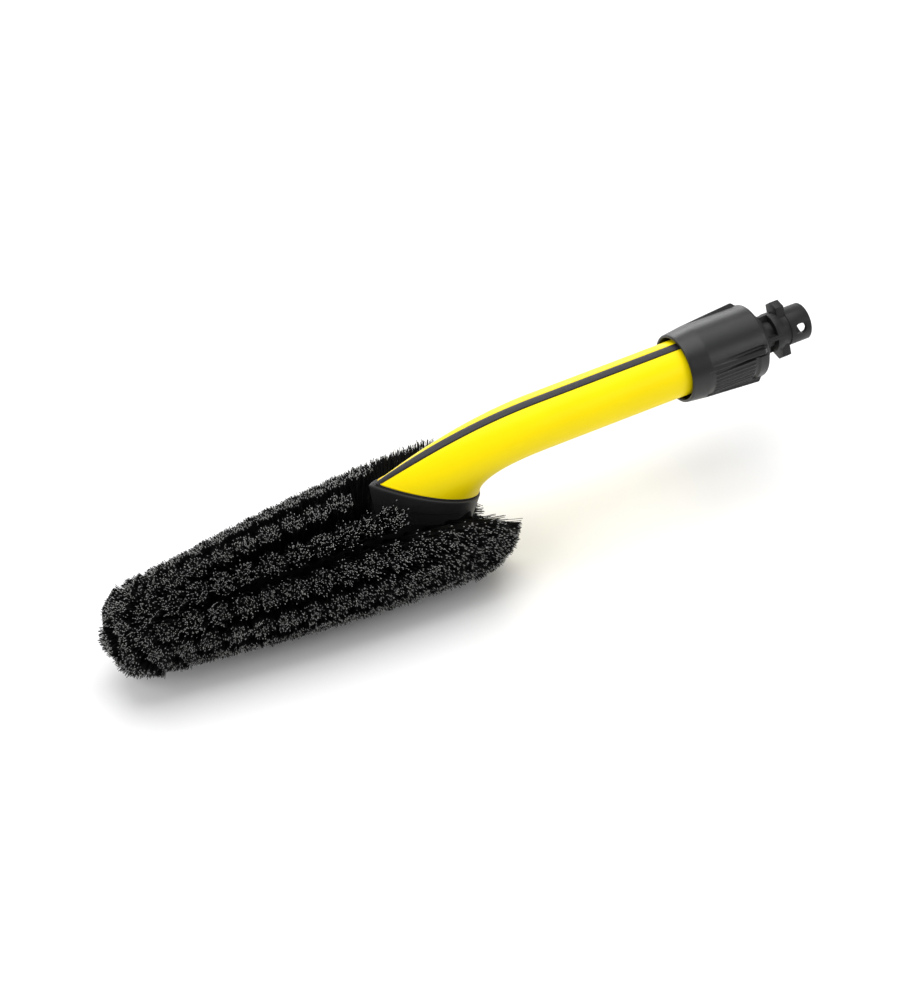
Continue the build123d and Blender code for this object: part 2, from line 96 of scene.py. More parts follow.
class HandleSizes(bpy.types.PropertyGroup):
    """The bent handle, its boot and its stripe."""

    radius: length("Radius", "Radius of the straight tube", 13.6)
    bend_start: length("Bend start", "Distance of the bend from the spigot's end", 150.0)
    bend_length: length("Bend length", "Length of the bend up to the nose of the boot", 85.0)
    tube_end: length("Tube end", "Distance of the tube's end from the spigot's end", 62.0)
    boot_half_width: length("Boot half width", "Half width of the boot at the seam", 12.8)
    seam_run: length("Seam run", "Length of the seam along the brush", 54.0)
    seam_fall: length("Seam fall", "Drop of the seam below the handle's axis", 24.8)
    taper: number("Taper", "How much narrower the boot is at its nose than at its heel", 0.65)
    edge: length("Edge round", "Rounding of the boot's lower edge", 0.7)
    stripe_width: length("Stripe width", "Width of the stripe on the crest", 4.0)
    stripe_gap: length("Stripe gap", "Shadow gap on each side of the stripe", 0.28)
    colour: colour("Handle colour", "Yellow of the handle", 0.97, 0.745, 0.0)
    stripe_colour: colour("Stripe colour", "Dark grey of the stripe", 0.020, 0.019, 0.023)


class NutSizes(bpy.types.PropertyGroup):
    """The union nut with its two grip pads."""

    bore: length("Bore", "Radius of the threaded bore", 15.45)
    rear_bore: length("Rear bore", "Radius of the bore round the neck", 12.3)
    front_radius: length("Front radius", "Radius of the front rim", 16.8)
    radius: length("Radius", "Radius behind the front taper", 18.0)
    taper: length("Taper", "Length of the front taper", 10.6)
    shoulder: length("Shoulder", "Thickness of the rear wall", 4.0)
    edge: length("Edge round", "Rounding of the rims", 0.9)
    grip_radius: length("Grip radius", "Radius at the top of the wings", 19.9)
    recess: length("Recess", "Depth of the ribbed pads", 0.9)
    pad_angle: number("Pad angle", "Middle of the first pad, in degrees from +Y to +Z", 12.0)
    pad_half_span: number("Pad half span", "Half of a pad's arc, in degrees", 30.0)
    wing_angle: number("Wing angle", "Middle of a wing, in degrees from its pad's middle", 34.0)
    wing_half_width: length("Wing half width", "Half width of a wing", 1.2)
    colour: colour("Nut colour", "Black of the nut", 0.0055, 0.0055, 0.0057)


class HeadSizes(bpy.types.PropertyGroup):
    """The foot, the core and the tufts of the head."""

    foot_half_width: length("Foot half width", "Half width of the foot at its base", 9.5)
    foot_inset: length("Foot inset", "How far the foot's base lies behind the nose", 3.0)
    foot_draft: length("Foot draft", "How far the rear wall leans forward on its way down", 4.5)
    foot_depth: length("Foot depth", "Depth of the foot's base below the top of the core", 19.0)
    foot_rim: length("Foot rim", "How far the foot's rim stands out from the boot", 0.8)
    foot_lead: length("Foot lead", "How far the foot's nose runs ahead of the boot", 2.4)
    foot_step: length("Foot step", "Depth of the step on the foot's side", 0.3)
    gasket: length("Gasket", "Thickness of the gasket under the boot", 0.8)
    pitch: length("Tuft pitch", "Distance between tufts along a row", 12.5)
    root_radius: length("Root radius", "Radius of a tuft at its root", 2.1)
    tip_radius: length("Tip radius", "Radius of a tuft of full reach at its cut ends", 7.0)
    full_reach: length("Full reach", "Reach of a tuft that opens to the tip radius", 26.0)
    filament_radius: length("Filament radius", "Radius of one filament", 0.19)
    filaments: bpy.props.IntProperty(
        name="Filaments", description="Filaments in one tuft", default=290, min=8
    )
    stray: number("Stray", "How far filaments wander, as a share of their length", 0.055)
    colour: colour("Filament colour", "Black of the filaments", 0.003, 0.003, 0.0031)
    tip_colour: colour("Tip colour", "Grey of the frayed ends", 0.40, 0.40, 0.39)
    plastic_colour: colour("Plastic colour", "Plastic of foot and fittings", 0.008, 0.008, 0.0085)


class WheelBrush(bpy.types.PropertyGroup):
    """All settings of the brush."""

    handle: bpy.props.PointerProperty(type=HandleSizes)
    nut: bpy.props.PointerProperty(type=NutSizes)
    head: bpy.props.PointerProperty(type=HeadSizes)


# ---- Shader expressions -------------------------------------------------------------------------
class Signal:
    """A value socket that can be used in an arithmetic expression."""

    def __init__(self, recipe, socket):
        self.recipe = recipe
        self.socket = socket

    def _maths(self, operation, first, second, clamp=False):
        settings = {"operation": operation, "use_clamp": clamp}
        return self.recipe.node("ShaderNodeMath", settings, {0: first, 1: second})

    def __add__(self, other):
        return self._maths("ADD", self, other)

    def __sub__(self, other):
        return self._maths("SUBTRACT", self, other)

    def __rsub__(self, other):
        return self._maths("SUBTRACT", other, self)

    def __mul__(self, other):
        return self._maths("MULTIPLY", self, other)

    def __pow__(self, other):
        return self._maths("POWER", self, other)

    def __gt__(self, other):
        return self._maths("GREATER_THAN", self, other)

    def clamped(self):
        """The same value held between 0 and 1."""
        return self._maths("ADD", self, 0.0, clamp=True)

    __radd__ = __add__
    __rmul__ = __mul__


class Recipe:
    """One material: its nodes are made by node(), and its surface is a Principled shader."""

    def __init__(self, name):
        self.material = bpy.data.materials.new(name)
        self.material.use_nodes = True
        self.tree = self.material.node_tree
        self.shader = self.tree.nodes["Principled BSDF"]
        self.place = self.node("ShaderNodeTexCoord", {}, {}, "Object")

    def feed(self, socket, value):
        """Give a socket a constant or a link."""
        if isinstance(value, Signal):
            self.tree.links.new(value.socket, socket)
        else:
            socket.default_value = value

    def node(self, kind, settings, inputs, output=0):
        """Make a node of a kind with its settings and its inputs, and return one output."""
        made = self.tree.nodes.new(kind)
        for key, value in settings.items():
            setattr(made, key, value)
        for key, value in inputs.items():
            self.feed(made.inputs[key], value)
        return Signal(self, made.outputs[output])

    def noise(self, scale, detail=2.0, roughness=0.5):
        """Soft noise between 0 and 1, with scale in repeats per metre."""
        inputs = {"Vector": self.place, "Scale": scale, "Detail": detail, "Roughness": roughness}
        return self.node("ShaderNodeTexNoise", {}, inputs, "Fac")

    def attribute(self, name):
        """A value stored on the mesh."""
        return self.node("ShaderNodeAttribute", {"attribute_name": name}, {}, "Fac")

    def blend(self, share, first, second):
        """The first colour where share is 0, the second where it is 1."""
        made = self.tree.nodes.new("ShaderNodeMix")
        made.data_type = "RGBA"
        for key, value in (("Factor_Float", share), ("A_Color", first), ("B_Color", second)):
            socket = next(item for item in made.inputs if item.identifier == key)
            if not isinstance(value, Signal) and key != "Factor_Float":
                value = (*value, 1.0)
            self.feed(socket, value)
        return Signal(self, next(item for item in made.outputs if item.identifier == "Result_Color"))

    def bump(self, height, strength, distance):
        """A bent normal from a height."""
        inputs = {"Height": height, "Strength": strength, "Distance": distance}
        return self.node("ShaderNodeBump", {}, inputs, "Normal")

    def surface(self, **values):
        """Set the shader's sockets, with underscores for the spaces of their names."""
        for key, value in values.items():
            self.feed(self.shader.inputs[key.replace("_", " ")], value)
        return self.material


def shaded(rgb, share):
    """A colour scaled towards black or past itself."""
    return tuple(min(channel * share, 1.0) for channel in rgb)


def moulded_plastic(name, rgb, roughness, grain, depth, coat=0.0, level=0.3):
    """Moulded plastic: faint cloudy colour, fine grain, and dull patches from handling."""
    recipe = Recipe(name)
    cloud = recipe.noise(28.0, 3.0)
    rub = recipe.noise(160.0, 4.0, 0.6)
    fine = recipe.noise(grain, 2.0, 0.6)
    flow = recipe.noise(90.0, 1.0)
    tint = recipe.blend(cloud, shaded(rgb, 0.93), shaded(rgb, 1.07))
    return recipe.surface(
        Base_Color=recipe.blend((rub - 0.62) * 1.5 * (fine > 0.55), tint, shaded(rgb, 0.80)),
        Roughness=(rub * 0.12 + roughness - 0.06 + fine * 0.04).clamped(),
        Normal=recipe.bump(fine + flow * 0.6, depth, 0.0002),
        Coat_Weight=coat,
        Coat_Roughness=0.12,
        Specular_IOR_Level=level,
    )


def rubber(name):
    """Dull black rubber with a dusty bloom."""
    recipe = Recipe(name)
    bloom = recipe.noise(300.0, 4.0, 0.65)
    return recipe.surface(
        Base_Color=recipe.blend(bloom, (0.010, 0.010, 0.010), (0.030, 0.030, 0.031)),
        Roughness=bloom * 0.2 + 0.6,
        Normal=recipe.bump(bloom, 0.2, 0.0002),
    )


def steel(name):
    """Plain turned steel."""
    recipe = Recipe(name)
    turned = recipe.noise(900.0, 2.0)
    return recipe.surface(
        Base_Color=recipe.blend(turned, (0.45, 0.45, 0.46), (0.62, 0.62, 0.63)),
        Metallic=1.0,
        Roughness=turned * 0.2 + 0.25,
    )


def filament(name, settings):
    """Black filaments, of which about two in five have a frayed grey end, each by its own amount."""
    recipe = Recipe(name)
    along = recipe.attribute("along")
    shade = recipe.attribute("shade")
    fray = recipe.attribute("fray")
    body = recipe.blend(shade, shaded(settings.colour, 0.5), shaded(settings.colour, 1.6))
    grey = recipe.blend(shade, shaded(settings.tip_colour, 0.05), shaded(settings.tip_colour, 1.1))
    glow = (fray * (shade > 0.6)).clamped()
    return recipe.surface(
        Base_Color=recipe.blend(glow, body, grey),
        Roughness=0.45 + along * 0.2,
        Specular_IOR_Level=0.14,
    )


# ---- Meshes from grids --------------------------------------------------------------------------
def grid_faces(rows, columns, closed_rows=False, closed_columns=True):
    """Four-cornered faces of a grid whose points are numbered row by row."""
    row = np.arange(rows if closed_rows else rows - 1)[:, None]
    column = np.arange(columns if closed_columns else columns - 1)[None, :]
    next_row = (row + 1) % rows
    next_column = (column + 1) % columns
    corners = (
        row * columns + column,
        row * columns + next_column,
        next_row * columns + next_column,
        next_row * columns + column,
    )
    return np.stack(np.broadcast_arrays(*corners), -1).reshape(-1, 4)


def fan_faces(ring, pole, flip):
    """Three-cornered faces from a ring of points to a pole."""
    after = np.roll(ring, -1)
    order = (after, ring) if flip else (ring, after)
    return np.stack([*order, np.full(len(ring), pole)], -1)


def fill_mesh(mesh, points, quads, triangles):
    """Put points, quads and triangles into a mesh as whole arrays."""
    corners = np.concatenate([quads.ravel(), triangles.ravel()]).astype(np.int32)
    sizes = np.concatenate([np.full(len(quads), 4), np.full(len(triangles), 3)]).astype(np.int32)
    starts = np.concatenate([[0], np.cumsum(sizes)[:-1]]).astype(np.int32)
    mesh.vertices.add(len(points))
    mesh.vertices.foreach_set("co", points.astype(np.float32).ravel())
    mesh.loops.add(len(corners))
    mesh.loops.foreach_set("vertex_index", corners)
    mesh.polygons.add(len(sizes))
    mesh.polygons.foreach_set("loop_start", starts)
    mesh.update(calc_edges=True)
    mesh.validate()


def add_piece(name, mesh, body, material, replaced, sharp_degrees):
    """Make an object of a mesh, shade it, and let it stand for CAD nodes on a body."""
    mesh.shade_smooth()
    if sharp_degrees:
        mesh.set_sharp_from_angle(angle=math.radians(sharp_degrees))
    mesh.materials.append(material)
    piece = bpy.data.objects.new(name, mesh)
    bpy.context.scene.collection.objects.link(piece)
    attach(piece, body)
    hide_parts(*replaced)


def outward(mesh):
    """Turn a closed mesh's faces outwards."""
    work = bmesh.new()
    work.from_mesh(mesh)
    bmesh.ops.recalc_face_normals(work, faces=work.faces)
    work.to_mesh(mesh)
    work.free()


def capped_sleeve(name, rings):
    """A mesh from rings of points, rows by columns by 3, with a pole in the middle of both ends."""
    rows, columns = rings.shape[:2]
    poles = np.stack([rings[0].mean(0), rings[-1].mean(0)])
    points = np.concatenate([rings.reshape(-1, 3), poles])
    first = np.arange(columns)
    last = first + (rows - 1) * columns
    count = rows * columns
    triangles = np.concatenate([fan_faces(first, count, True), fan_faces(last, count + 1, False)])
    mesh = bpy.data.meshes.new(name)
    fill_mesh(mesh, points, grid_faces(rows, columns), triangles)
    outward(mesh)
    return mesh


# ---- Handle: shape ------------------------------------------------------------------------------
def pear(angle, end, half_width, taper):
    """Across and up of a pear: half width times sine times sine of half the angle to the taper."""
    widest = np.arccos(-taper / (2 + taper))
    fullest = np.sin(widest) * np.sin(widest / 2) ** taper
    across = half_width * np.sin(angle) * np.sin(angle / 2) ** taper / fullest
    return across, end * np.cos(angle)


def pear_angle(across, half_width, taper):
    """The angle at which a pear is that far across near its narrow end, by halving the bracket."""
    low = np.zeros(np.broadcast(across, half_width).shape)
    high = low + np.arccos(-taper / (2 + taper))
    for _ in range(32):
        middle = (low + high) / 2
        short = pear(middle, 1.0, half_width, taper)[0] < across
        low = np.where(short, middle, low)
        high = np.where(short, high, middle)
    return low


def boot_frame(u, sizes):
    """Middle, up direction, half height, half width and taper of the handle, u from bend to seam.

    The crest falls as u to 2.05, the belly falls as u to 2.4 and runs as 1 - (1 - u) squared.
    """
    crest_s = sizes.bend_start + sizes.bend_length * u
    crest_rise = sizes.radius * (1 - u**2.05)
    belly_s = sizes.bend_start + (sizes.bend_length - sizes.seam_run) * (1 - (1 - u) ** 2)
    belly_rise = -sizes.radius - (sizes.seam_fall - sizes.radius) * u**2.4
    run = belly_s - crest_s
    rise = crest_rise - belly_rise
    height = np.hypot(run, rise)
    middle = np.stack(
        [
            HALF_LENGTH - (crest_s + belly_s) / 2,
            0 * u,
            AXIS_HEIGHT + (crest_rise + belly_rise) / 2,
        ],
        -1,
    )
    up = np.stack([run / height, 0 * u, rise / height], -1)
    half_width = sizes.radius + (sizes.boot_half_width - sizes.radius) * u**1.5
    return middle, up, height / 2, half_width, sizes.taper * u**1.2


def handle_rows(sizes):
    """The handle's frames from the tube's end to the seam, denser where it bends."""
    straight = np.linspace(sizes.tube_end, sizes.bend_start, 12)[:-1]
    u = np.concatenate([np.zeros(len(straight)), np.linspace(0.0, 1.0, 110) ** 0.9])
    middle, up, end, half_width, taper = boot_frame(u, sizes)
    middle[: len(straight), 0] = HALF_LENGTH - straight
    return u, middle, up, end[:, None], half_width[:, None], taper[:, None]


def both_sides(across, up_distance):
    """Join one side's points to their mirror image, as closed rows."""
    across = np.concatenate([across, -across[:, -2:0:-1]], 1)
    return across, np.concatenate([up_distance, up_distance[:, -2:0:-1]], 1)


def placed(middle, up, across, up_distance):
    """Points from distances along +Y and along each row's up direction."""
    points = middle[:, None, :] + up[:, None, :] * up_distance[:, :, None]
    points[:, :, 1] += across
    return points


def stripe_half(u, sizes):
    """Half the stripe's width, a little narrower at the nose."""
    return (sizes.stripe_width / 2 * (1 - 0.45 * u**5))[:, None]


TRENCH_DEPTH = 0.8 * MM
STRIPE_CROWN = 0.22 * MM
STRIPE_THICKNESS = 0.7 * MM


def handle_mesh(sizes):
    """The pear section carried down the handle, with a trench for the stripe at its crest."""
    u, middle, up, end, half_width, taper = handle_rows(sizes)
    half = stripe_half(u, sizes)
    gap = sizes.stripe_gap
    steps = np.array([0.0, 0.5, 1.0])
    lips = [half + gap, half + gap + 0.10 * MM, half + gap + 0.5 * MM]
    trench = np.concatenate([half * steps, *lips], 1)
    depth = np.array([1.0, 1.0, 1.0, 1.0, 0.12, 0.0]) * TRENCH_DEPTH
    start = pear_angle(trench, half_width, taper)
    turn = np.linspace(0.0, 1.0, 96)[1:]
    wide = start[:, -1:] + (np.pi - start[:, -1:]) * turn
    angle = np.concatenate([start, wide], 1)
    across, height = pear(angle, end, half_width, taper)
    height[:, : len(depth)] -= depth
    body = placed(middle, up, *both_sides(across, height))
    return capped_sleeve("handle", np.concatenate([body[:-1], seam_rings(sizes, angle[-1:], depth)]))


def seam_rings(sizes, angle, depth):
    """Rings that round the boot's lower edge: a quarter circle from its side into the seam."""
    quarter = np.linspace(0.0, np.pi / 2, 6)[:, None]
    inset = sizes.edge * (1 - np.cos(quarter))
    lift = sizes.edge * (1 - np.sin(quarter))[:, 0]
    middle, up, end, half_width, taper = boot_frame(np.ones(1), sizes)
    across, height = pear(angle, end - inset, half_width - inset, taper)
    height[:, : len(depth)] -= depth
    normal = np.array([up[0, 2], 0.0, -up[0, 0]])
    rings = placed(
        np.repeat(middle, len(lift), 0), np.repeat(up, len(lift), 0), *both_sides(across, height)
    )
    return rings + normal * lift[:, None, None]


def stripe_mesh(sizes):
    """A strip that follows the crest, slightly domed, with rolled edges and a flat underside."""
    u, middle, up, end, half_width, taper = handle_rows(sizes)
    half = stripe_half(u, sizes)
    share = np.array([0.0, 0.3, 0.6, 0.85, 0.94, 0.985, 1.0])
    angle = pear_angle(half * share, half_width, taper)
    across, height = pear(angle, end, half_width, taper)
    height = height + STRIPE_CROWN * np.sqrt(1 - share**12)
    low = height[:, -1:] - STRIPE_THICKNESS
    across = np.concatenate([across, half, 0 * half], 1)
    height = np.concatenate([height, low, low], 1)
    return capped_sleeve("top_stripe_skin", placed(middle, up, *both_sides(across, height)))


# ---- Nut: shape ---------------------------------------------------------------------------------
def eased(value):
    """A smooth step from 0 to 1."""
    held = np.clip(value, 0.0, 1.0)
    return held * held * (3 - 2 * held)


def plateau(distance, half_width, edge):
    """1 within half a width of 0, falling smoothly to 0 over an edge."""
    return eased((half_width - np.abs(distance)) / edge + 0.5)


def nut_profile(sizes):
    """The closed outline of the nut's wall as x from its front rim and radius, outside first."""
    long = NUT_HIGH.x - NUT_LOW.x
    round_steps = np.linspace(0.0, np.pi / 2, 6)
    edge = sizes.edge
    front_x = edge * (1 - np.cos(round_steps)) * 0.6
    front_r = sizes.front_radius - edge * 0.6 * (1 - np.sin(round_steps))
    side_x = np.concatenate(
        [np.linspace(front_x[-1], sizes.taper, 22)[1:], np.linspace(sizes.taper, long - edge, 64)[1:]]
    )
    corner_x, corner_r = [0.0, sizes.taper, long], [sizes.front_radius, sizes.radius, sizes.radius]
    side_r = np.interp(side_x, corner_x, corner_r)
    rear_x = long - edge * (1 - np.sin(round_steps[1:]))
    rear_r = sizes.radius - edge * (1 - np.cos(round_steps[1:]))
    inner_x = np.array([long, long - sizes.shoulder, long - sizes.shoulder, 20 * MM, 0.3 * MM, 0.0])
    inner_r = np.array([sizes.rear_bore, sizes.rear_bore, *[sizes.bore] * 3, sizes.bore + 0.25 * MM])
    xs = np.concatenate([front_x, side_x, rear_x, inner_x])
    radii = np.concatenate([front_r, side_r, rear_r, inner_r])
    outer = np.concatenate([np.ones(len(xs) - len(inner_x)), np.zeros(len(inner_x))])
    return xs, radii, outer


PAD_FRONT = 9.4 * MM
PAD_REAR = 5.6 * MM
RIB_SPACES = 8
WING_REAR = 3.6 * MM
GROOVE_DEPTH = 0.9 * MM


def nut_mesh(sizes):
    """The profile turned round the axis; pads, ribs, wings and their grooves move its radius.

    A wing rises as a straight line to the rear and falls off before the rear rim, and so does the
    depth of the two grooves beside it.
    """
    xs, radii, outer = nut_profile(sizes)
    long = NUT_HIGH.x - NUT_LOW.x
    turn = np.linspace(0.0, 2 * np.pi, 600, endpoint=False)[None, :]
    half_turn = (np.degrees(turn) - sizes.pad_angle + 90) % 180 - 90
    arc = np.radians(half_turn) * sizes.radius
    x = xs[:, None]
    span = math.radians(sizes.pad_half_span) * sizes.radius
    start, stop = PAD_FRONT, long - PAD_REAR
    pad = plateau(arc, span, 0.5 * MM) * plateau(x - (start + stop) / 2, (stop - start) / 2, 0.6 * MM)
    rib_pitch = 2 * span / RIB_SPACES
    near = (arc / rib_pitch + 0.5) % 1.0 - 0.5
    rib_start, rib_stop = start + 3.6 * MM, stop - 2.0 * MM
    ribs = plateau(near * rib_pitch, 0.42 * MM, 0.5 * MM)
    ribs = ribs * plateau(x - (rib_start + rib_stop) / 2, (rib_stop - rib_start) / 2, 0.8 * MM)
    wing_arc = math.radians(sizes.wing_angle) * sizes.radius
    wings = plateau(np.abs(arc) - wing_arc, sizes.wing_half_width, 0.5 * MM)
    grooves = plateau(np.abs(np.abs(arc) - wing_arc) - 2.0 * MM, 0.7 * MM, 0.5 * MM)
    rise = np.clip((x - sizes.taper) / (long - WING_REAR - sizes.taper), 0.0, 1.0)
    fall = 1 - eased((x - long + WING_REAR) / (2.6 * MM))
    wings = (wings * (sizes.grip_radius - sizes.radius) - GROOVE_DEPTH * grooves) * rise * fall
    change = -sizes.recess * pad + 0.75 * sizes.recess * ribs * pad
    change = change + wings
    radius = radii[:, None] + outer[:, None] * change
    points = np.stack(
        [
            NUT_LOW.x + x + 0 * radius,
            radius * np.cos(turn),
            AXIS_HEIGHT + radius * np.sin(turn),
        ],
        -1,
    )
    mesh = bpy.data.meshes.new("union_nut_skin")
    rows, columns = points.shape[:2]
    faces = grid_faces(rows, columns, closed_rows=True)
    fill_mesh(mesh, points.reshape(-1, 3), faces, np.zeros((0, 3), int))
    outward(mesh)
    return mesh


# ---- Spigot and other turned pieces -------------------------------------------------------------
def softened_copy(name, node, edge):
    """A CAD node's mesh with its loose triangles merged, flat regions joined and edges rounded."""
    mesh = frame["nodes"][node].data.copy()
    mesh.name = name
    mesh.materials.clear()
    work = bmesh.new()
    work.from_mesh(mesh)
    bmesh.ops.remove_doubles(work, verts=work.verts, dist=0.002 * MM)
    bmesh.ops.dissolve_limit(
        work, angle_limit=math.radians(0.6), verts=work.verts, edges=work.edges
    )
    sharp = [item for item in work.edges if item.is_manifold and item.calc_face_angle() > 0.7]
    bmesh.ops.bevel(
        work,
        geom=sharp,
        offset=edge,
        offset_type="OFFSET",
        segments=2,
        profile=0.5,
        affect="EDGES",
        clamp_overlap=True,
    )
    bmesh.ops.triangulate(work, faces=work.faces)
    work.to_mesh(mesh)
    work.free()
    return mesh


# ---- Foot and gasket: shape ---------------------------------------------------------------------
def seam_ring(sizes, angle, inset, lift, lead=0.0):
    """The boot's outline drawn in by inset and moved by lift along the seam's normal.

    The lead pushes the outline's nose ahead, and fades as the sixth power of the half angle's cosine.
    """
    middle, up, end, half_width, taper = boot_frame(np.ones(1), sizes)
    across, height = pear(angle, end - inset, half_width - inset, taper)
    height = height + lead * np.cos(angle / 2) ** 6
    normal = np.array([up[0, 2], 0.0, -up[0, 0]])
    return placed(middle, up, *both_sides(across, height))[0] + normal * lift


def base_ring(sizes, head, angle):
    """The foot's level outline inside the core."""
    nose = HALF_LENGTH - (sizes.bend_start + sizes.bend_length - head.foot_inset)
    rear = HALF_LENGTH - (sizes.bend_start + sizes.bend_length - sizes.seam_run + head.foot_draft)
    middle = np.array([[(nose + rear) / 2, 0.0, CORE_HIGH.z - head.foot_depth]])
    across, height = pear(angle, (rear - nose) / 2, head.foot_half_width, np.array([0.9]))
    return placed(middle, np.array([[-1.0, 0.0, 0.0]]), *both_sides(across, height))[0]


def foot_mesh(sizes, head):
    """A proud rim under the boot, and straight sides from it to the base, with one shallow step."""
    angle = np.linspace(0.0, np.pi, 90)[None, :]
    quarter = np.linspace(0.0, np.pi / 2, 5)
    edge, rim, lead = 0.6 * MM, head.foot_rim, head.foot_lead
    insets = [1.2 * MM, *(edge * (1 - np.sin(quarter)) - rim)]
    drops = [head.gasket, *(head.gasket + edge * (1 - np.cos(quarter)))]
    top = [seam_ring(sizes, angle, inset, -drop, lead) for inset, drop in zip(insets, drops)]
    stepped = seam_ring(sizes, angle, head.foot_step - rim, -head.gasket - edge, lead)
    base = base_ring(sizes, head, angle)
    spans = [np.linspace(0.03, 0.25, 6), np.linspace(0.27, 0.31, 5), np.linspace(0.34, 1, 12)]
    share = np.concatenate(spans)[:, None, None]
    proud = eased((0.29 - share) / 0.03 + 0.5)
    side = (top[-1] * proud + stepped * (1 - proud)) * (1 - share) + base * share
    return capped_sleeve("foot_skin", np.concatenate([np.stack(top), side]))


def gasket_mesh(sizes, head):
    """A flat band under the boot, drawn in from its outline."""
    angle = np.linspace(0.0, np.pi, 90)[None, :]
    rings = [
        seam_ring(sizes, angle, 0.55 * MM, 0.0),
        seam_ring(sizes, angle, 0.5 * MM, -0.1 * MM),
        seam_ring(sizes, angle, 0.5 * MM, 0.1 * MM - head.gasket),
        seam_ring(sizes, angle, 0.55 * MM, -head.gasket),
    ]
    return capped_sleeve("gasket_skin", np.stack(rings))


# ---- Tufts: shape -------------------------------------------------------------------------------
# Stations are distances along the brush from the spigot's end, as in the CAD model
FIRST_TIP = 366.0 * MM
LAST_TIP = 179.0 * MM
NOSE_S = 235.0 * MM
SEAM_RUN = 54.0 * MM
CORE_FRONT_S = HALF_LENGTH - CORE_LOW.x
CORE_REAR_S = HALF_LENGTH - CORE_HIGH.x
ROOT_MARGIN = 5.0 * MM
FOOT_MARGINS = (7.0 * MM, -1.0 * MM)
FOOT_SPREAD = 15.0
ROW_STEP = 30.0
SQUARE_CUT = 30.0 * MM


def swell(s, full, thin):
    """A share that rises from 0 at thin to 1 at full as one minus the square of what is left."""
    along = np.clip((thin - s) / (thin - full), 0.0, 1.0)
    return 1 - (1 - along) ** 2


def core_axes(s):
    """Half width and half height of the core."""
    share = swell(s, CORE_REAR_S, CORE_FRONT_S)
    return (7.0 + 5.0 * share) * MM, (7.5 + 2.5 * share) * MM


def envelope_axes(s):
    """Half width and half height of the cut ends, drawn in a little at the rear."""
    share = swell(s, CORE_REAR_S, FIRST_TIP)
    close = 1 - 0.18 * (np.clip(CORE_REAR_S + 6 * MM - s, 0.0, None) / (20 * MM)) ** 2
    return (18.0 + 19.0 * share) * MM * close, (21.5 + 10.0 * share) * MM * close


def oval(s, axes, degrees, scale=1.0):
    """Points of an oval round the head's axis, with the angle counted from +Z."""
    turn = np.radians(degrees)
    x = HALF_LENGTH - s + 0 * turn
    across = axes[0] * scale * np.sin(turn)
    return np.stack([x, across, HEAD_HEIGHT + axes[1] * scale * np.cos(turn)], -1)


def envelope_normal(s, degrees):
    """Outward normals of the cut surface: across the oval, tilted by how it narrows to the tip."""
    half_width, half_height = envelope_axes(s)
    next_width, next_height = envelope_axes(s + MM)
    slope = (next_width + next_height - half_width - half_height) / 2 / MM
    turn = np.radians(degrees)
    radial = np.stack([np.sin(turn) / half_width, np.cos(turn) / half_height], -1)
    radial = radial / np.linalg.norm(radial, axis=1)[:, None]
    normal = np.concatenate([slope[:, None], radial], 1)
    return normal / np.linalg.norm(normal, axis=1)[:, None]


def row_tufts(row, pitch):
    """Roots, tips and cut normals of one row, without the tufts that the foot would cover.

    The cut leans from the envelope's normal towards the tuft's own axis, most of all at the front.
    """
    degrees = row * ROW_STEP
    s = FIRST_TIP - pitch * (np.arange(15) + (row % 2) / 2)
    from_top = min(degrees, 360 - degrees)
    if from_top < 45:
        s = s[s > NOSE_S + FOOT_MARGINS[row % 2]]
    side = 1 if 0 < degrees < 90 else -1 if 270 < degrees < 360 else 0
    turned = degrees + side * FOOT_SPREAD * np.clip(NOSE_S - s, 0.0, None) / SEAM_RUN
    share = (s - LAST_TIP) / (FIRST_TIP - LAST_TIP)
    root_s = CORE_REAR_S + ROOT_MARGIN + share * (CORE_FRONT_S - CORE_REAR_S - 2 * ROOT_MARGIN)
    roots, tips = oval(root_s, core_axes(root_s), turned), oval(s, envelope_axes(s), turned)
    axes = (tips - roots) / np.linalg.norm(tips - roots, axis=1)[:, None]
    front = np.clip((s - FIRST_TIP + SQUARE_CUT) / SQUARE_CUT, 0.0, 1.0)[:, None]
    return roots, tips, envelope_normal(s, turned) + axes * (0.35 + 1.6 * front)


def fan_tufts():
    """Roots, tips and axes of the tufts at the nose: six round one on the axis."""
    degrees = (np.arange(6) + 0.5) * 60.0
    root_s = CORE_FRONT_S - 1.5 * MM
    tip_s = 2 * HALF_LENGTH - 6.0 * MM
    roots = oval(root_s, core_axes(root_s), degrees, 0.55)
    tips = oval(tip_s, envelope_axes(tip_s), degrees, 0.66)
    axial = np.array([[CORE_LOW.x, 0.0, HEAD_HEIGHT], [-HALF_LENGTH + 0.5 * MM, 0.0, HEAD_HEIGHT]])
    roots, tips = np.concatenate([axial[:1], roots]), np.concatenate([axial[1:], tips])
    return roots, tips, tips - roots


def rear_tufts():
    """Roots, tips and axes of the tufts that lean back from the lower half of the core's end."""
    degrees = 99.0 + np.arange(7) * 27.0
    root_s = CORE_REAR_S + 3.0 * MM
    roots = oval(root_s, core_axes(root_s), degrees, 0.9)
    tips = oval(CORE_REAR_S - 13.0 * MM, envelope_axes(CORE_REAR_S), degrees, 0.8)
    return roots, tips, tips - roots


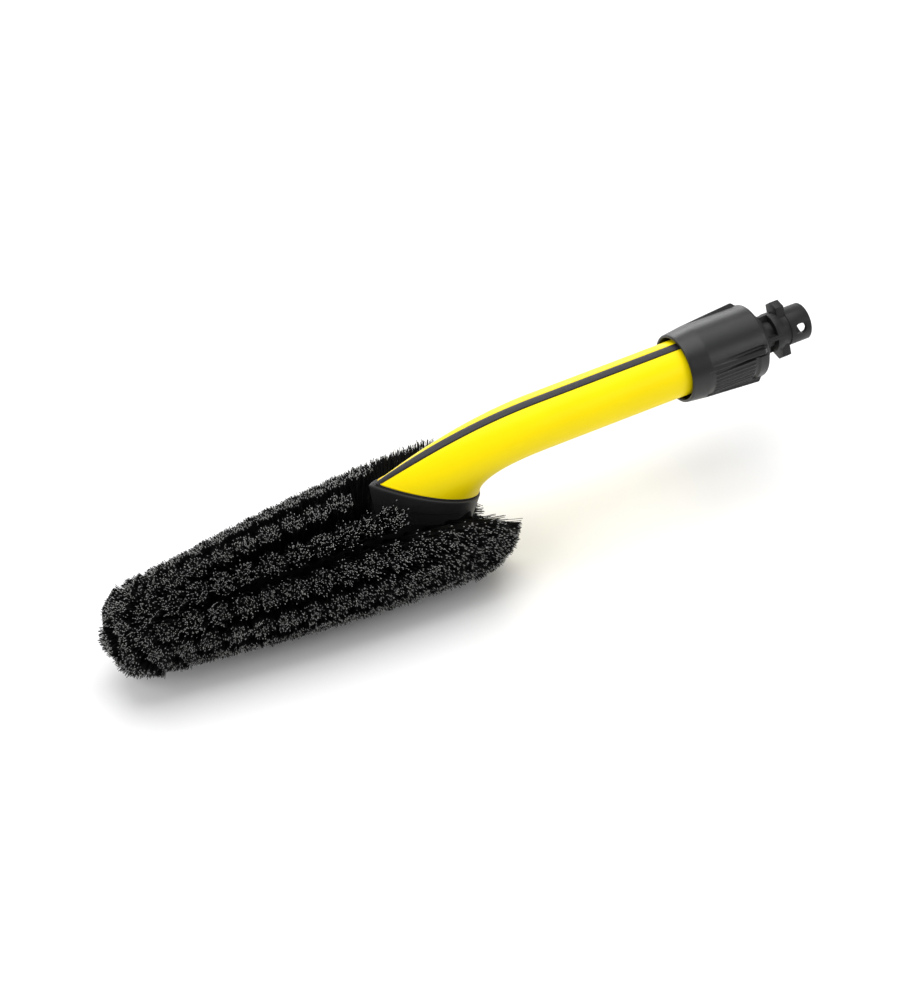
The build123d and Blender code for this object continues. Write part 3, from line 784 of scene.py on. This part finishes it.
def tuft_mesh(name, roots, tips, normals, head, rng):
    """Three-sided tapered filaments that spread from each root and end in a plane at its tip.

    A tuft opens to a radius that grows with its reach. Only the last few hundredths of a filament
    turn grey.
    A filament's length is what brings its end to that plane: the tuft's reach along the normal,
    less the filament's own offset along it, over the cosine between the tuft and the normal.
    """
    tufts, count = len(roots), head.filaments
    axis = tips - roots
    reach = np.linalg.norm(axis, axis=1)[:, None]
    axis = axis / reach
    end_radius = (head.tip_radius * np.clip(reach / head.full_reach, 0.7, 1.3))[..., None]
    side = np.cross(axis, [0.3, 0.2, 1.0])
    side = side / np.linalg.norm(side, axis=1)[:, None]
    other = np.cross(axis, side)
    spread = np.sqrt(rng.random((tufts, count)))
    turn = rng.random((tufts, count)) * 2 * np.pi
    wander = rng.normal(0.0, head.stray, (tufts, count, 2))
    cut = 1 - 0.06 * rng.random((tufts, count)) ** 2
    shade = rng.random((tufts, count))
    stations = np.array([0.0, 0.35, 0.7, 0.965, 0.984, 1.0])
    width = np.array([1.15, 1.0, 0.95, 0.9, 0.95, 1.15]) * head.filament_radius
    t = stations[None, None, :]
    fan = head.root_radius * 0.9 + (end_radius - head.root_radius * 0.9) * t**1.15
    offset_1 = (spread * np.cos(turn))[..., None] * fan
    offset_2 = (spread * np.sin(turn))[..., None] * fan
    offset_1 = offset_1 + wander[..., :1] * reach[:, None] * t**2
    offset_2 = offset_2 + wander[..., 1:] * reach[:, None] * t**2
    lean = np.sum(axis * normals, 1)[:, None]
    aside = offset_1[..., -1] * np.sum(side * normals, 1)[:, None]
    aside = aside + offset_2[..., -1] * np.sum(other * normals, 1)[:, None]
    run = ((reach - aside / lean) * cut)[..., None] * t
    line = roots[:, None, None, :] + axis[:, None, None, :] * run[..., None]
    line = line + side[:, None, None, :] * offset_1[..., None]
    line = line + other[:, None, None, :] * offset_2[..., None]
    line[..., 2] = np.maximum(line[..., 2], 0.2 * MM)
    corner = turn[..., None, None] + np.arange(3) * 2 * np.pi / 3
    ring_1 = np.cos(corner) * width[:, None]
    ring_2 = np.sin(corner) * width[:, None]
    points = line[..., None, :] + side[:, None, None, None, :] * ring_1[..., None]
    points = points + other[:, None, None, None, :] * ring_2[..., None]
    levels = len(stations)
    per = levels * 3
    quads = grid_faces(levels, 3)
    caps = np.array([[0, 2, 1], [per - 3, per - 2, per - 1]])
    first = (np.arange(tufts * count) * per)[:, None, None]
    mesh = bpy.data.meshes.new(name)
    quads, caps = (quads + first).reshape(-1, 4), (caps + first).reshape(-1, 3)
    fill_mesh(mesh, points.reshape(-1, 3), quads, caps)
    along = np.broadcast_to(t[..., None], (tufts, count, levels, 3))
    fray = eased((along - 0.965) / 0.019)
    values = {
        "along": along,
        "fray": fray,
        "shade": np.broadcast_to(shade[..., None, None], (tufts, count, levels, 3)),
    }
    for key, value in values.items():
        layer = mesh.attributes.new(key, "FLOAT", "POINT")
        layer.data.foreach_set("value", value.astype(np.float32).ravel())
    return mesh


# ---- Operators ----------------------------------------------------------------------------------
def settings():
    """The brush's settings in this scene."""
    return bpy.context.scene.wheel_brush


class BRUSH_OT_handle(bpy.types.Operator):
    """Make the yellow handle in one skin"""

    bl_idname = "wheel_brush.handle"
    bl_label = "Handle"

    def execute(self, context):
        """Stand the skin in for the two shells."""
        sizes = settings().handle
        yellow = moulded_plastic("handle_yellow", sizes.colour, 0.36, 2600.0, 0.10, 0.0, 0.14)
        replaced = ["handle_left_shell", "handle_right_shell"]
        add_piece("handle_skin", handle_mesh(sizes), "brush", yellow, replaced, 40.0)
        return {"FINISHED"}


class BRUSH_OT_stripe(bpy.types.Operator):
    """Make the dark stripe on the handle's crest"""

    bl_idname = "wheel_brush.stripe"
    bl_label = "Stripe"

    def execute(self, context):
        """Stand the skin in for the CAD stripe."""
        sizes = settings().handle
        dark = moulded_plastic("stripe_grey", sizes.stripe_colour, 0.42, 3200.0, 0.35, 0.0, 0.3)
        add_piece("stripe_skin", stripe_mesh(sizes), "brush", dark, ["top_stripe"], 40.0)
        return {"FINISHED"}


class BRUSH_OT_nut(bpy.types.Operator):
    """Make the union nut with its pads, ribs and wings"""

    bl_idname = "wheel_brush.nut"
    bl_label = "Union nut"

    def execute(self, context):
        """Stand the skin in for the CAD nut, on the nut's own body."""
        sizes = settings().nut
        black = moulded_plastic("nut_black", sizes.colour, 0.34, 2400.0, 0.30, 0.0, 0.45)
        add_piece("nut_skin", nut_mesh(sizes), "nut", black, ["union_nut"], 60.0)
        return {"FINISHED"}


class BRUSH_OT_spigot(bpy.types.Operator):
    """Make the bayonet spigot with softened edges"""

    bl_idname = "wheel_brush.spigot"
    bl_label = "Spigot"

    def execute(self, context):
        """Stand the softened copy in for the CAD spigot."""
        black = moulded_plastic("spigot_black", settings().head.plastic_colour, 0.46, 2400.0, 0.3)
        mesh = softened_copy("spigot_skin", "spigot", 0.18 * MM)
        add_piece("spigot_skin", mesh, "brush", black, ["spigot"], 30.0)
        return {"FINISHED"}


class BRUSH_OT_foot(bpy.types.Operator):
    """Make the foot under the handle's boot and the gasket between them"""

    bl_idname = "wheel_brush.foot"
    bl_label = "Foot"

    def execute(self, context):
        """Stand the two skins in for the CAD foot and gasket."""
        sizes, head = settings().handle, settings().head
        dark = moulded_plastic("foot_grey", shaded(head.plastic_colour, 3.0), 0.4, 2800.0, 0.35)
        add_piece("foot_skin", foot_mesh(sizes, head), "brush", dark, ["head_foot"], 30.0)
        black = rubber("gasket_rubber")
        mesh = gasket_mesh(sizes, head)
        add_piece("gasket_skin", mesh, "brush", black, ["foot_gasket"], 50.0)
        return {"FINISHED"}


class BRUSH_OT_bristles(bpy.types.Operator):
    """Make the filaments of every row and of the two end fans"""

    bl_idname = "wheel_brush.bristles"
    bl_label = "Bristles"

    def execute(self, context):
        """Stand one mesh of filaments in for each CAD row."""
        head = settings().head
        material = filament("filament_black", head)
        tufts = {f"bristle_row_{row + 1:02d}": row_tufts(row, head.pitch) for row in range(12)}
        tufts["bristle_tip"] = fan_tufts()
        tufts["bristle_rear"] = rear_tufts()
        rng = np.random.default_rng(11)
        for node, (roots, tips, normals) in tufts.items():
            mesh = tuft_mesh(node + "_filaments", roots, tips, normals, head, rng)
            add_piece(node + "_filaments", mesh, "brush", material, [node], 0.0)
        return {"FINISHED"}


class BRUSH_OT_fittings(bpy.types.Operator):
    """Give the remaining CAD nodes their finishes"""

    bl_idname = "wheel_brush.fittings"
    bl_label = "Fittings"

    def execute(self, context):
        """Set each CAD node's material by its slot in the record."""
        plastic = settings().head.plastic_colour
        finishes = {
            "fitting": moulded_plastic("fitting_black", plastic, 0.5, 2400.0, 0.3),
            # The core's black is darkened to a fifth and given little gloss: painted shade where the
            # tuft rows shade it.
            "core": moulded_plastic("core_black_painted_shade", shaded(plastic, 0.2), 0.6, 2400.0, 0.3, 0.0, 0.05),
            "tube": moulded_plastic("tube_grey", (0.12, 0.12, 0.13), 0.4, 1800.0, 0.1),
            "slip_ring": moulded_plastic("ring_black", shaded(plastic, 1.5), 0.35, 1800.0, 0.1),
            "seal": rubber("seal_rubber"),
            "screw": steel("screw_steel"),
        }
        for part in frame["record"]["subparts"]:
            finish = finishes.get(part["material_slot"])
            if finish:
                for place in frame["nodes"][part["node"]].material_slots:
                    place.material = finish
        return {"FINISHED"}


def area_light(name, place, aim, size, power, tint=(1.0, 1.0, 1.0)):
    """A square soft light at a place, aimed at a point."""
    data = bpy.data.lights.new(name, "AREA")
    data.size = size
    data.energy = power
    data.color = tint
    lamp = bpy.data.objects.new(name, data)
    bpy.context.scene.collection.objects.link(lamp)
    lamp.location = place
    lamp.rotation_euler = (Vector(aim) - Vector(place)).to_track_quat("-Z", "Y").to_euler()


class BRUSH_OT_stage(bpy.types.Operator):
    """Make the pale floor, the lights and the camera"""

    bl_idname = "wheel_brush.stage"
    bl_label = "Stage"

    def execute(self, context):
        """Build the studio round the brush."""
        scene = bpy.context.scene
        floor_mesh = bpy.data.meshes.new("floor")
        corners = np.array([[-6, -6, 0], [6, -6, 0], [6, 6, 0], [-6, 6, 0]], float)
        corners[:, 2] = -0.2 * MM
        fill_mesh(floor_mesh, corners, np.array([[0, 1, 2, 3]]), np.zeros((0, 3), int))
        paper = Recipe("pale_paper")
        grain = paper.noise(30.0, 3.0)
        floor_mesh.materials.append(
            paper.surface(
                Base_Color=paper.blend(grain, (0.90, 0.90, 0.90), (0.92, 0.92, 0.92)), Roughness=0.9
            )
        )
        floor = bpy.data.objects.new("floor", floor_mesh)
        scene.collection.objects.link(floor)
        world = bpy.data.worlds.new("soft_room")
        world.use_nodes = True
        background = world.node_tree.nodes["Background"]
        background.inputs["Color"].default_value = (1.0, 1.0, 1.0, 1.0)
        background.inputs["Strength"].default_value = 0.45
        scene.world = world
        aim = (0.0, 0.0, 0.04)
        area_light("overhead", (0.1, 0.35, 1.5), aim, 1.6, 22.0)
        area_light("left", (-1.1, -0.3, 0.9), aim, 0.7, 6.0)
        area_light("right", (0.9, -0.9, 0.7), aim, 0.5, 3.0)
        area_light("rear", (0.55, 1.15, 0.42), aim, 0.5, 4.0)
        data = bpy.data.cameras.new("camera")
        data.lens = 154.8
        data.sensor_width = 36.0
        data.clip_start = 0.05
        camera = bpy.data.objects.new("camera", data)
        scene.collection.objects.link(camera)
        camera.location = (-0.7661, -1.3021, 1.3581)
        back = Vector((-0.381, -0.648, 0.659))
        camera.rotation_euler = (-back).to_track_quat("-Z", "Y").to_euler()
        scene.camera = camera
        scene.view_settings.view_transform = "Standard"
        return {"FINISHED"}


PIECES = ("handle", "stripe", "nut", "spigot", "foot", "bristles", "fittings", "stage")


class BRUSH_PT_panel(bpy.types.Panel):
    """The brush's pieces and sizes in the sidebar"""

    bl_idname = "BRUSH_PT_panel"
    bl_label = "Wheel brush"
    bl_space_type = "VIEW_3D"
    bl_region_type = "UI"
    bl_category = "Wheel brush"

    def draw(self, context):
        """List the settings and the operators."""
        for group in (settings().handle, settings().nut, settings().head):
            box = self.layout.box()
            for key in group.__annotations__:
                box.prop(group, key)
        for piece in PIECES:
            self.layout.operator("wheel_brush." + piece)


CLASSES = (
    HandleSizes,
    NutSizes,
    HeadSizes,
    WheelBrush,
    BRUSH_OT_handle,
    BRUSH_OT_stripe,
    BRUSH_OT_nut,
    BRUSH_OT_spigot,
    BRUSH_OT_foot,
    BRUSH_OT_bristles,
    BRUSH_OT_fittings,
    BRUSH_OT_stage,
    BRUSH_PT_panel,
)


def register():
    """Add the classes and the scene's settings."""
    for item in CLASSES:
        bpy.utils.register_class(item)
    bpy.types.Scene.wheel_brush = bpy.props.PointerProperty(type=WheelBrush)


def unregister():
    """Take the classes and the settings away again."""
    del bpy.types.Scene.wheel_brush
    for item in reversed(CLASSES):
        bpy.utils.unregister_class(item)


def main():
    """Build every piece."""
    register()
    for piece in PIECES:
        getattr(bpy.ops.wheel_brush, piece)()


if __name__ == "__main__":
    main()
